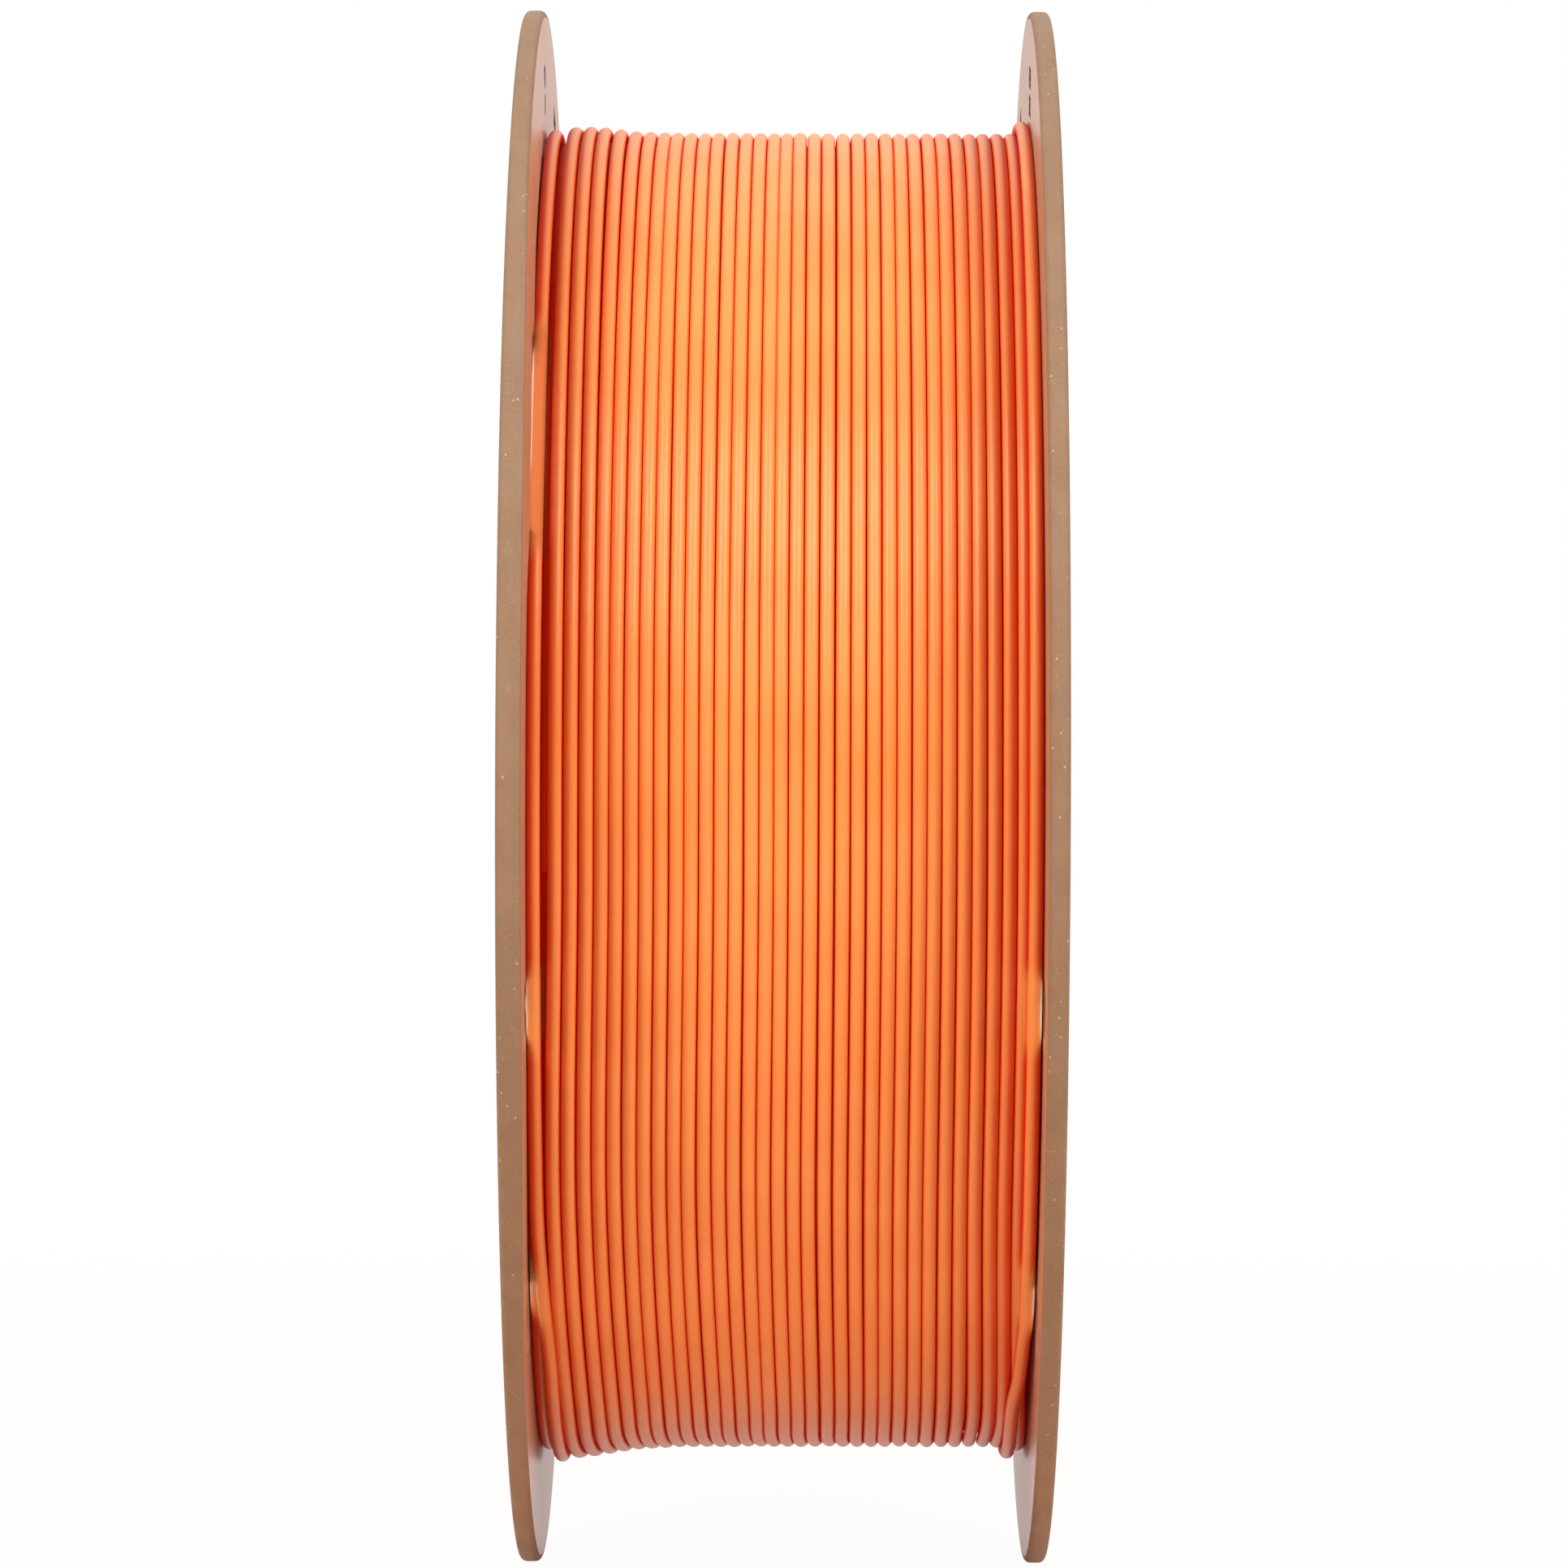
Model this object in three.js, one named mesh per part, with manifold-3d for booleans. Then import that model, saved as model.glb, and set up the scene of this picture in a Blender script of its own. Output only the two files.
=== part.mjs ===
// A full spool of 3-D printer filament: two laminated board flanges, a board core tube
// with a centring ring in each end, and the filament wound between the flanges.
// Millimetres. The spool's axis lies along X, Z is up, and the front faces -Y.
import * as THREE from 'three';
import { mergeVertices } from 'three/addons/utils/BufferGeometryUtils.js';
import Module from 'manifold-3d';

const wasm = await Module();
wasm.setup();

// Flanges: a grey board disc with a paper liner glued to each face.
const flangeRadius = 100;
const flangeSpacing = 62; // clear width between the two inner faces
const boardThickness = 2;
const linerThickness = 0.25;
const rimChamfer = 0.625;
const linerSetback = 0.25; // the liner stops this far inside the board's flat face
const spindleBoreRadius = 27.5;

// Tie holes take the filament's free end. Angles run from the front (0) over the top (90).
const tieHoleRadius = 4.25;
const tieHoleInset = 13; // from the rim to a hole's centre
const tieHoleAngles = [-19.3, -49.5]; // one pair at the front, and its twin at the back
const windowAngle = 29; // middle of the long slot in the left flange
const windowSpan = 12.4;
const windowHalfWidth = 4.25;

// Core tube and the rings that centre it on the flanges.
const coreTubeRadius = 50;
const coreTubeWall = 3;
const ringThickness = 2.5;
const ringBoreMargin = 4; // the ring's bore is this much larger in radius than the spindle bore
const glueGap = 0.3;

// Filament.
const filamentDiameter = 1.75;
const windingInset = 15.6; // from the flange's rim down to the outside of the outer layer
const layerTurns = 23; // turns drawn across the outer layer, before the raised last turn
const turnSteps = 24;
const strandSides = 6;
const windingClearance = 0.3;
const raisedLift = filamentDiameter + 0.5; // how far the last turn rides above the layer
const stepZoneStart = -40; // each turn steps sideways between these two angles
const stepZoneEnd = -90;
const climbSpan = 60; // degrees in which the last turn climbs
const lastStepBack = 1.5; // pitches that the last turn steps back from the flange
const tailBendRadius = 4.2;
const tailBendSteps = 4;

// Paper labels, blank, on the outer faces.
const labelThickness = 0.125;
const labelCorner = 2.5;
const leftLabel = { width: 64, height: 34, inset: 38 }; // the inset runs from the rim to the middle
const rightLabel = { width: 44, height: 20, inset: 34 };

// How finely round shapes are drawn.
const discSides = 96;
const linerSides = 72;
const tubeSides = 48;
const holeSides = 12;

const innerFace = flangeSpacing / 2;
const boardInner = innerFace + linerThickness;
const boardOuter = boardInner + boardThickness;
const outerFace = boardOuter + linerThickness;
const linerRadius = flangeRadius - rimChamfer - linerSetback;
const coreBoreRadius = coreTubeRadius - coreTubeWall;
const tieHoleCircle = flangeRadius - tieHoleInset;
const windingRadius = flangeRadius - windingInset;

const colours = {
  board: new THREE.MeshStandardMaterial({ color: 0xa98460, roughness: 0.85, metalness: 0 }),
  liner: new THREE.MeshStandardMaterial({ color: 0xcfae90, roughness: 0.8, metalness: 0 }),
  greyBoard: new THREE.MeshStandardMaterial({ color: 0x9b8f80, roughness: 0.9, metalness: 0 }),
  filament: new THREE.MeshStandardMaterial({ color: 0xee7a38, roughness: 0.45, metalness: 0 }),
  innerFilament: new THREE.MeshStandardMaterial({ color: 0xc9551f, roughness: 0.5, metalness: 0 }),
  label: new THREE.MeshStandardMaterial({ color: 0xf2efe8, roughness: 0.6, metalness: 0 }),
};

const spool = new THREE.Group();

function addPiece(name, geometry, material) {
  const mesh = new THREE.Mesh(geometry, material);
  mesh.name = name;
  spool.add(mesh);
}

// A point on a flange, by radius and by angle from the front over the top.
function onFlange(radius, degrees) {
  const angle = THREE.MathUtils.degToRad(degrees);
  return new THREE.Vector2(-radius * Math.cos(angle), radius * Math.sin(angle));
}

// The two ends along X of a layer that lies between two distances from the spool's middle.
function layerEnds(side, near, far) {
  return side > 0 ? [near, far] : [-far, -near];
}

// Extrudes a flat shape drawn in Y and Z along X. The axes only trade places, so faces stay exact.
function extrudeAlongX(shape, [from, to]) {
  const geometry = new THREE.ExtrudeGeometry(shape, { depth: to - from, bevelEnabled: false });
  geometry.translate(0, 0, from);
  return geometry.applyMatrix4(new THREE.Matrix4().set(0, 0, 1, 0, 1, 0, 0, 0, 0, 1, 0, 0, 0, 0, 0, 1));
}

// Turns a closed profile of [radius, x] corners round the X axis.
function turnRoundX(profile, sides) {
  const corners = [...profile, profile[0]].map(([radius, x]) => new THREE.Vector2(radius, x));
  const geometry = new THREE.LatheGeometry(corners, sides, Math.PI / sides);
  return geometry.applyMatrix4(new THREE.Matrix4().set(0, 1, 0, 0, 0, 0, 1, 0, 1, 0, 0, 0, 0, 0, 0, 1));
}

function turnedRing(innerRadius, outerRadius, [from, to], sides) {
  const profile = [[innerRadius, from], [outerRadius, from], [outerRadius, to], [innerRadius, to]];
  return turnRoundX(profile, sides);
}

function circlePoints(centre, radius, sides) {
  const points = [];
  for (let i = 0; i < sides; i += 1) {
    const angle = (2 * Math.PI * i) / sides;
    const point = new THREE.Vector2(Math.cos(angle), Math.sin(angle));
    points.push(point.multiplyScalar(radius).add(centre));
  }
  return points;
}

// A slot that follows the rim, with round ends.
function arcSlotPoints(circle, middle, span, halfWidth) {
  const points = [];
  const arcSteps = 6;
  for (let i = 0; i <= arcSteps; i += 1) {
    points.push(onFlange(circle + halfWidth, middle - span / 2 + (span * i) / arcSteps));
  }
  points.push(...slotEndPoints(circle, middle + span / 2, halfWidth, 0));
  for (let i = arcSteps; i >= 0; i -= 1) {
    points.push(onFlange(circle - halfWidth, middle - span / 2 + (span * i) / arcSteps));
  }
  points.push(...slotEndPoints(circle, middle - span / 2, halfWidth, 180));
  return points;
}

// The points between the two corners of a slot's round end.
function slotEndPoints(circle, at, halfWidth, turned) {
  const points = [];
  const endSteps = 6;
  for (let i = 1; i < endSteps; i += 1) {
    const direction = onFlange(halfWidth, at + turned + (180 * i) / endSteps);
    points.push(onFlange(circle, at).add(direction));
  }
  return points;
}

// Every cut near a flange's rim. Both flanges have the tie holes, and the left one has the slot.
function rimCuts(side) {
  const cuts = [];
  for (const angle of tieHoleAngles) {
    cuts.push(circlePoints(onFlange(tieHoleCircle, angle), tieHoleRadius, holeSides));
    cuts.push(circlePoints(onFlange(tieHoleCircle, angle + 180), tieHoleRadius, holeSides));
  }
  if (side < 0) {
    cuts.push(arcSlotPoints(tieHoleCircle, windowAngle, windowSpan, windowHalfWidth));
  }
  return cuts;
}

function toManifold(geometry) {
  geometry.deleteAttribute('normal');
  geometry.deleteAttribute('uv');
  const merged = mergeVertices(geometry);
  const vertProperties = merged.attributes.position.array;
  const triVerts = merged.index.array;
  return new wasm.Manifold(new wasm.Mesh({ numProp: 3, vertProperties, triVerts }));
}

function toGeometry(manifold) {
  const mesh = manifold.getMesh();
  const geometry = new THREE.BufferGeometry();
  geometry.setAttribute('position', new THREE.BufferAttribute(mesh.vertProperties, 3));
  geometry.setIndex(new THREE.BufferAttribute(mesh.triVerts, 1));
  geometry.computeVertexNormals();
  return geometry;
}

// The board disc. Its rim is chamfered, and its flats lie on the true circle.
function flangeBoard(side) {
  const [from, to] = layerEnds(side, boardInner, boardOuter);
  const rim = flangeRadius / Math.cos(Math.PI / discSides);
  const profile = [
    [spindleBoreRadius, from],
    [rim - rimChamfer, from],
    [rim, from + rimChamfer],
    [rim, to - rimChamfer],
    [rim - rimChamfer, to],
    [spindleBoreRadius, to],
  ];
  let board = toManifold(turnRoundX(profile, discSides));
  for (const cut of rimCuts(side)) {
    const throughBoard = [from - boardThickness, to + boardThickness];
    board = board.subtract(toManifold(extrudeAlongX(new THREE.Shape(cut), throughBoard)));
  }
  return toGeometry(board);
}

// A liner is cut through together with its board.
function flangeLiner(side, near, far) {
  const shape = new THREE.Shape(circlePoints(new THREE.Vector2(), linerRadius, linerSides));
  const bore = circlePoints(new THREE.Vector2(), spindleBoreRadius, tubeSides);
  shape.holes = [bore, ...rimCuts(side)].map((points) => new THREE.Path(points));
  return extrudeAlongX(shape, layerEnds(side, near, far));
}

function centringRing(side) {
  const ends = layerEnds(side, innerFace - ringThickness, innerFace);
  return turnedRing(spindleBoreRadius + ringBoreMargin, coreBoreRadius - glueGap, ends, tubeSides);
}

function paperLabel(side, { width, height, inset }) {
  const up = flangeRadius - inset;
  const shape = new THREE.Shape();
  const straightWidth = width / 2 - labelCorner;
  const straightHeight = height / 2 - labelCorner;
  shape.absarc(straightWidth, up + straightHeight, labelCorner, 0, Math.PI / 2);
  shape.absarc(-straightWidth, up + straightHeight, labelCorner, Math.PI / 2, Math.PI);
  shape.absarc(-straightWidth, up - straightHeight, labelCorner, Math.PI, 1.5 * Math.PI);
  shape.absarc(straightWidth, up - straightHeight, labelCorner, 1.5 * Math.PI, 2 * Math.PI);
  const outline = new THREE.Shape(shape.getPoints(4).slice(0, -1));
  return extrudeAlongX(outline, layerEnds(side, outerFace, outerFace + labelThickness));
}

// The strand's path. It is laid from the left flange to the right one, downward at the front,
// and every turn runs straight round the spool except where it steps aside to the next place.
const filamentRadius = filamentDiameter / 2;
const centreRadius = windingRadius - filamentRadius;
const raisedRadius = centreRadius + raisedLift;
const lastPlace = innerFace - windingClearance - filamentRadius;
const pitch = (2 * lastPlace) / layerTurns;
const stepDegrees = 360 / turnSteps;
const tailAngle = tieHoleAngles[0] - 180;
const pathEnd = tailAngle + THREE.MathUtils.radToDeg(tailBendRadius / raisedRadius);
const raisedSteps = Math.floor((90 - pathEnd) / stepDegrees);
const climbEnd = pathEnd + raisedSteps * stepDegrees;
const climbStart = climbEnd + climbSpan;
const pathStart = climbStart + layerTurns * 360;
const pathSteps = Math.round((pathStart - pathEnd) / stepDegrees);

// How much of the sideways step is done at an angle, from 0 to 1.
function stepDone(degrees) {
  return THREE.MathUtils.smoothstep(stepZoneStart - degrees, 0, stepZoneStart - stepZoneEnd);
}

function strandX(degrees) {
  if (degrees < climbStart) {
    return lastPlace - lastStepBack * pitch * stepDone(degrees);
  }
  const turnsToGo = Math.ceil((degrees - stepZoneStart) / 360);
  const withinTurn = degrees - turnsToGo * 360;
  return lastPlace - pitch * (turnsToGo - stepDone(withinTurn));
}

function strandRadius(degrees) {
  return centreRadius + raisedLift * THREE.MathUtils.smoothstep(climbStart - degrees, 0, climbSpan);
}

function strandPoint(x, radius, degrees) {
  const { x: y, y: z } = onFlange(radius, degrees);
  return new THREE.Vector3(x, y, z);
}

// The free end bends towards the right flange and runs straight into a tie hole.
function tailPoints() {
  const points = [];
  const bendFrom = strandX(pathEnd);
  for (let i = 1; i <= tailBendSteps; i += 1) {
    const angle = (i / tailBendSteps) * (Math.PI / 2);
    const sideways = bendFrom + tailBendRadius * (1 - Math.cos(angle));
    const along = pathEnd - (pathEnd - tailAngle) * Math.sin(angle);
    points.push(strandPoint(sideways, raisedRadius, along));
  }
  points.push(strandPoint(outerFace - windingClearance, raisedRadius, tailAngle));
  return points;
}

function strandPath() {
  const points = [];
  for (let i = 0; i <= pathSteps; i += 1) {
    const degrees = pathStart - i * stepDegrees;
    points.push(strandPoint(strandX(degrees), strandRadius(degrees), degrees));
  }
  return [...points, ...tailPoints()];
}

// A closed tube along the path. Each ring stands square to the path, one corner facing outward.
function tubeAlong(path, radius, sides) {
  const positions = [];
  const triangles = [];
  path.forEach((point, i) => {
    const before = path[Math.max(i - 1, 0)];
    const after = path[Math.min(i + 1, path.length - 1)];
    const forward = after.clone().sub(before).normalize();
    const outward = new THREE.Vector3(0, point.y, point.z).normalize();
    const sideways = forward.clone().cross(outward).normalize();
    outward.crossVectors(sideways, forward);
    for (let k = 0; k < sides; k += 1) {
      const angle = (2 * Math.PI * k) / sides;
      const corner = point.clone();
      corner.addScaledVector(outward, radius * Math.cos(angle));
      corner.addScaledVector(sideways, radius * Math.sin(angle));
      positions.push(corner.x, corner.y, corner.z);
    }
  });
  for (let i = 0; i < path.length - 1; i += 1) {
    for (let k = 0; k < sides; k += 1) {
      const a = i * sides + k;
      const b = i * sides + ((k + 1) % sides);
      triangles.push(a, b, a + sides, b, b + sides, a + sides);
    }
  }
  const lastRing = (path.length - 1) * sides;
  for (let k = 1; k < sides - 1; k += 1) {
    triangles.push(0, k + 1, k);
    triangles.push(lastRing, lastRing + k, lastRing + k + 1);
  }
  const geometry = new THREE.BufferGeometry();
  geometry.setAttribute('position', new THREE.Float32BufferAttribute(positions, 3));
  geometry.setIndex(triangles);
  geometry.computeVertexNormals();
  return geometry;
}

// The least distance between two stretches of a strand, measured on points along its path.
function leastSelfGap(path, diameter) {
  const pointsPerStep = 4;
  const samples = [];
  for (let i = 0; i < path.length - 1; i += 1) {
    for (let k = 0; k < pointsPerStep; k += 1) {
      samples.push(path[i].clone().lerp(path[i + 1], k / pointsPerStep));
    }
  }
  const halfTurn = (turnSteps * pointsPerStep) / 2;
  let least = Infinity;
  for (let i = 0; i < samples.length; i += 1) {
    for (let k = i + halfTurn; k < samples.length; k += 1) {
      least = Math.min(least, samples[i].distanceTo(samples[k]));
    }
  }
  return least - diameter;
}

for (const [name, side] of [['left', -1], ['right', 1]]) {
  addPiece(`${name}_flange_board`, flangeBoard(side), colours.board);
  addPiece(`${name}_inner_liner`, flangeLiner(side, innerFace, boardInner), colours.liner);
  addPiece(`${name}_outer_liner`, flangeLiner(side, boardOuter, outerFace), colours.liner);
  addPiece(`${name}_centring_ring`, centringRing(side), colours.greyBoard);
}
addPiece('left_label', paperLabel(-1, leftLabel), colours.label);
addPiece('right_label', paperLabel(1, rightLabel), colours.label);

const coreTube = turnedRing(coreBoreRadius, coreTubeRadius, [-innerFace, innerFace], tubeSides);
addPiece('core_tube', coreTube, colours.greyBoard);

// The lower layers are one plain ring, clear of the outer layer's straight steps.
const stepDip = Math.cos(Math.PI / turnSteps);
const lowerLayersRadius = centreRadius * stepDip - filamentRadius - windingClearance;
const lowerLayersEnd = innerFace - windingClearance;
const lowerLayers = turnedRing(
  coreTubeRadius + windingClearance,
  lowerLayersRadius,
  [-lowerLayersEnd, lowerLayersEnd],
  discSides,
);
addPiece('filament_lower_layers', lowerLayers, colours.innerFilament);

const path = strandPath();
addPiece('filament_outer_layer', tubeAlong(path, filamentRadius, strandSides), colours.filament);
console.log(`outer layer: least gap to itself ${leastSelfGap(path, filamentDiameter).toFixed(2)} mm`);

export default spool;
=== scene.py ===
# %% [markdown]
# # A full spool of printer filament
#
# This lesson dresses a spool whose bare solids already exist. The solids say where every
# piece is and how large it is. Here each piece gets the surface that the eye sees: wound
# plastic strand, laminated board, kraft paper and white stickers.
#
# Everything is in metres. The spool's axis lies along X, Z is up and the front faces -Y.

# %% Load the frame of solids
import math

import bmesh
import bpy
import numpy as np
from mathutils import Matrix, Vector


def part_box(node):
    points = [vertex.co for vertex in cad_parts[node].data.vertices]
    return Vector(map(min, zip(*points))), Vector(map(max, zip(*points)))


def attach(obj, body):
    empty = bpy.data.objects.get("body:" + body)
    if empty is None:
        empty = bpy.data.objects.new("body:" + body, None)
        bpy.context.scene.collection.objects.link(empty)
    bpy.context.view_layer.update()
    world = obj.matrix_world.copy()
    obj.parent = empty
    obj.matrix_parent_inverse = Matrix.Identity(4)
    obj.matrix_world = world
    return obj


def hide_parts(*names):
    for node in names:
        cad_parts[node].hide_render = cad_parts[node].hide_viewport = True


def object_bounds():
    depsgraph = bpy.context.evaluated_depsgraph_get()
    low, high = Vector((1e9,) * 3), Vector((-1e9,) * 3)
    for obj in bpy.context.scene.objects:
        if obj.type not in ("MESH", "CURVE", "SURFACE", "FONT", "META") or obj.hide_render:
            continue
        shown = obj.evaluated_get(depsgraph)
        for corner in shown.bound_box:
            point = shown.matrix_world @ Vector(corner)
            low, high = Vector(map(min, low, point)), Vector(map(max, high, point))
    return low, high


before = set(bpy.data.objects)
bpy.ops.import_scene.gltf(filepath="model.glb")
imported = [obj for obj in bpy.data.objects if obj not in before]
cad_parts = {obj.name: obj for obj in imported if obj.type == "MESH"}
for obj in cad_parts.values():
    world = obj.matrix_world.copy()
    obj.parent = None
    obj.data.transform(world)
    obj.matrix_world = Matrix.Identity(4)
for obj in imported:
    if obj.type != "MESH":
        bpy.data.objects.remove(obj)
frame_box = [list(corner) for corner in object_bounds()]
MM = 0.001
SIDES = (("left", -1), ("right", 1))


def add_object(name, data):
    """A new object, already in the scene."""
    item = bpy.data.objects.new(name, data)
    bpy.context.scene.collection.objects.link(item)
    return item


print("solids:", sorted(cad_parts))

# %% [markdown]
# ## Camera
#
# A product photo of a spool is taken from about a metre with a long lens, so that the two
# flanges stay nearly parallel. The camera stands a little below the middle and looks very
# slightly up. Turning a level camera about its own axes, one after another, is easier to
# read than one combined rotation.

# %% Camera
CAMERA_PLACE = Vector((2.378, -962.063, -18.199)) * MM
CAMERA_YAW = 0.00262
CAMERA_PITCH = 0.01926
CAMERA_ROLL = 0.00295
CAMERA_LENS = 170.36  # millimetres, as is the sensor's width
CAMERA_SENSOR = 36


def make_camera():
    data = bpy.data.cameras.new("photo_camera")
    data.lens = CAMERA_LENS
    data.sensor_width = CAMERA_SENSOR
    data.clip_start = 0.05
    data.clip_end = 50
    camera = add_object("photo_camera", data)
    level = Matrix.Rotation(math.pi / 2 + CAMERA_PITCH, 4, "X")
    turned = Matrix.Rotation(CAMERA_YAW, 4, "Z") @ level @ Matrix.Rotation(CAMERA_ROLL, 4, "Z")
    camera.matrix_world = Matrix.Translation(CAMERA_PLACE) @ turned
    bpy.context.scene.camera = camera
    return camera


camera = make_camera()
print("camera at", [round(v, 3) for v in camera.location])

# %% [markdown]
# ## Arithmetic with shader sockets
#
# A material here is a sum of small ideas: a base colour, a little mottling, a few specks.
# Written as node links they are hard to read, so one small class wraps a socket and lets
# Python's own operators add the Math nodes. A second class owns the material and makes any
# other node from its type, its settings and its inputs.


# %% Sockets and shaders
class Wire:
    """A shader socket that takes part in Python arithmetic."""

    def __init__(self, shader, socket):
        self.shader = shader
        self.socket = socket

    def maths(self, operation, left, right):
        return self.shader.node("ShaderNodeMath", {"operation": operation}, {0: left, 1: right})

    def __add__(self, other):
        return self.maths("ADD", self, other)

    def __sub__(self, other):
        return self.maths("SUBTRACT", self, other)

    def __rsub__(self, other):
        return self.maths("SUBTRACT", other, self)

    def __mul__(self, other):
        return self.maths("MULTIPLY", self, other)

    def __truediv__(self, other):
        return self.maths("DIVIDE", self, other)

    def __pow__(self, other):
        return self.maths("POWER", self, other)

    def least(self, other):
        return self.maths("MINIMUM", self, other)

    def most(self, other):
        return self.maths("MAXIMUM", self, other)

    def away(self, middle):
        """How far the value lies from the middle, on either side."""
        return self.shader.node("ShaderNodeMath", {"operation": "ABSOLUTE"}, {0: self - middle})

    def above(self, edge, softness):
        """0 below the edge and 1 above it, with a soft step between."""
        return self.shader.node("ShaderNodeMapRange", {"interpolation_type": "SMOOTHSTEP"}, {
            "Value": self, "From Min": edge - softness, "From Max": edge + softness})

    def between(self, low, high, softness):
        """1 from low to high and 0 outside, with soft steps."""
        return self.above(low, softness) * (1.0 - self.above(high, softness))


class Shader:
    """A material or a world, and the nodes that are added to it."""

    def __init__(self, name, family=bpy.data.materials):
        self.owner = family.new(name)
        self.owner.use_nodes = True
        self.tree = self.owner.node_tree
        self.tree.nodes.clear()

    def node(self, kind, settings=None, inputs=None, output=0):
        node = self.tree.nodes.new(kind)
        for key, value in (settings or {}).items():
            setattr(node, key, value)
        for key, value in (inputs or {}).items():
            if isinstance(value, Wire):
                self.tree.links.new(value.socket, node.inputs[key])
            else:
                node.inputs[key].default_value = value
        return Wire(self, node.outputs[output])

    def place(self):
        """Where a point lies on the object, in millimetres."""
        object_place = self.node("ShaderNodeTexCoord", output="Object")
        scale = {0: object_place, "Scale": 1 / MM}
        return self.node("ShaderNodeVectorMath", {"operation": "SCALE"}, scale)

    def split(self, vector):
        node = self.node("ShaderNodeSeparateXYZ", None, {0: vector}).socket.node
        return [Wire(self, node.outputs[i]) for i in range(3)]

    def join(self, x, y, z):
        return self.node("ShaderNodeCombineXYZ", None, {0: x, 1: y, 2: z})

    def noise(self, vector, scale, detail=2.0, roughness=0.5):
        """Soft noise from 0 to 1. The scale is in bumps per millimetre."""
        return self.node("ShaderNodeTexNoise", None, {
            "Vector": vector, "Scale": scale, "Detail": detail, "Roughness": roughness})

    def blend(self, factor, first, second):
        """The first colour where the factor is 0 and the second where it is 1."""
        inputs = {0: factor, 6: first, 7: second}
        return self.node("ShaderNodeMix", {"data_type": "RGBA"}, inputs, output=2)

    def bump(self, height, distance, strength=1.0, normal=None):
        inputs = {"Height": height, "Distance": distance, "Strength": strength}
        if normal:
            inputs["Normal"] = normal
        return self.node("ShaderNodeBump", None, inputs)

    def principled(self, inputs):
        return self.node("ShaderNodeBsdfPrincipled", None, inputs)

    def mix(self, factor, first, second):
        """The first surface or light where the factor is 0 and the second where it is 1."""
        return self.node("ShaderNodeMixShader", None, {0: factor, 1: first, 2: second})

    def finish(self, surface, kind="ShaderNodeOutputMaterial"):
        """Ends the material or world in this surface or light, and gives it back."""
        output = self.tree.nodes.new(kind)
        self.tree.links.new(surface.socket, output.inputs["Surface"])
        return self.owner

    def seen_directly(self):
        """Three wires, each 1 for what is seen straight, in a mirror and through glass."""
        path = self.node("ShaderNodeLightPath").socket.node
        rays = ("Camera", "Glossy", "Transmission")
        return [Wire(self, path.outputs[f"Is {ray} Ray"]) for ray in rays]


def srgb(red, green, blue):
    """A colour as read off a screen, from 0 to 255, as the linear colour that light needs."""
    def linear(value):
        value = value / 255
        return value / 12.92 if value <= 0.04045 else ((value + 0.055) / 1.055) ** 2.4
    return (linear(red), linear(green), linear(blue), 1.0)


def round_the_axle(shader):
    """Place as distance along the axle, radius and angle, from the front up over the top."""
    x, y, z = shader.split(shader.place())
    radius = (y * y + z * z) ** 0.5
    angle = shader.node("ShaderNodeMath", {"operation": "ARCTAN2"}, {0: z, 1: y * -1.0})
    return x, radius, angle


print("shader tools ready")

# %% [markdown]
# ## Satin orange strand
#
# Printer filament is extruded plastic with a faint drawn grain along its length and a very
# fine matte tooth. A little light passes through it, so what comes out of the narrow room
# between two turns is deep red. Scattering under the surface would show that, but it is
# slow and grainy. Instead the strand's mesh says how far each point faces outward, and two
# surfaces are mixed by it: open orange, and, where turns meet, a painted deep red shade
# with a faint painted glow that stands for the light coming through the plastic.
#
# Beside the flanges, on the side that faces them, the turns are painted a deeper red: a
# painted shade for the flange's shadow. Where daylight comes in through a tie hole or the
# slot, the end turn is open orange on that side as well, and a painted highlight, a pale
# line, runs down its edge. Beside the slot the end turn is painted a little darker, a
# painted shade, and made rougher.


# %% Filament material
WOUND_AT = 84.0  # radius at which the turns are seen, in millimetres
BY_TIE_HOLES = ((-48.0, 3.6), (-19.5, 3.4))  # middles and reaches, in degrees round the axle
BY_SLOT = (29.4, 11.0)
# Where the painted highlight runs down the end turn's outer edge, by the tie holes and the slot.
PAINTED_LIT_EDGES = ((-48.0, 2.3), (-19.5, 2.2), (32.0, 6.0))
END_TURN = 28.5  # how far along the axle the end turns begin, in millimetres
END_TURN_SIDE = 29.73  # and where their outer sides do
# Painted glow: a faint red emission where turns meet, standing for light through the plastic, a
# little stronger beside the flanges.
PAINTED_GLOW = (0.040, 0.0003, 0.0, 1.0)
PAINTED_GLOW_BESIDE_FLANGE = (0.055, 0.0004, 0.0, 1.0)


def within(angle, *stretches):
    """1 where the angle lies within reach of one of the middles, in degrees."""
    share = 0.0
    for middle, reach in stretches:
        off = angle.away(math.radians(middle))
        share = (1.0 - off.above(math.radians(reach), math.radians(1.4))) + share
    return share


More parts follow.
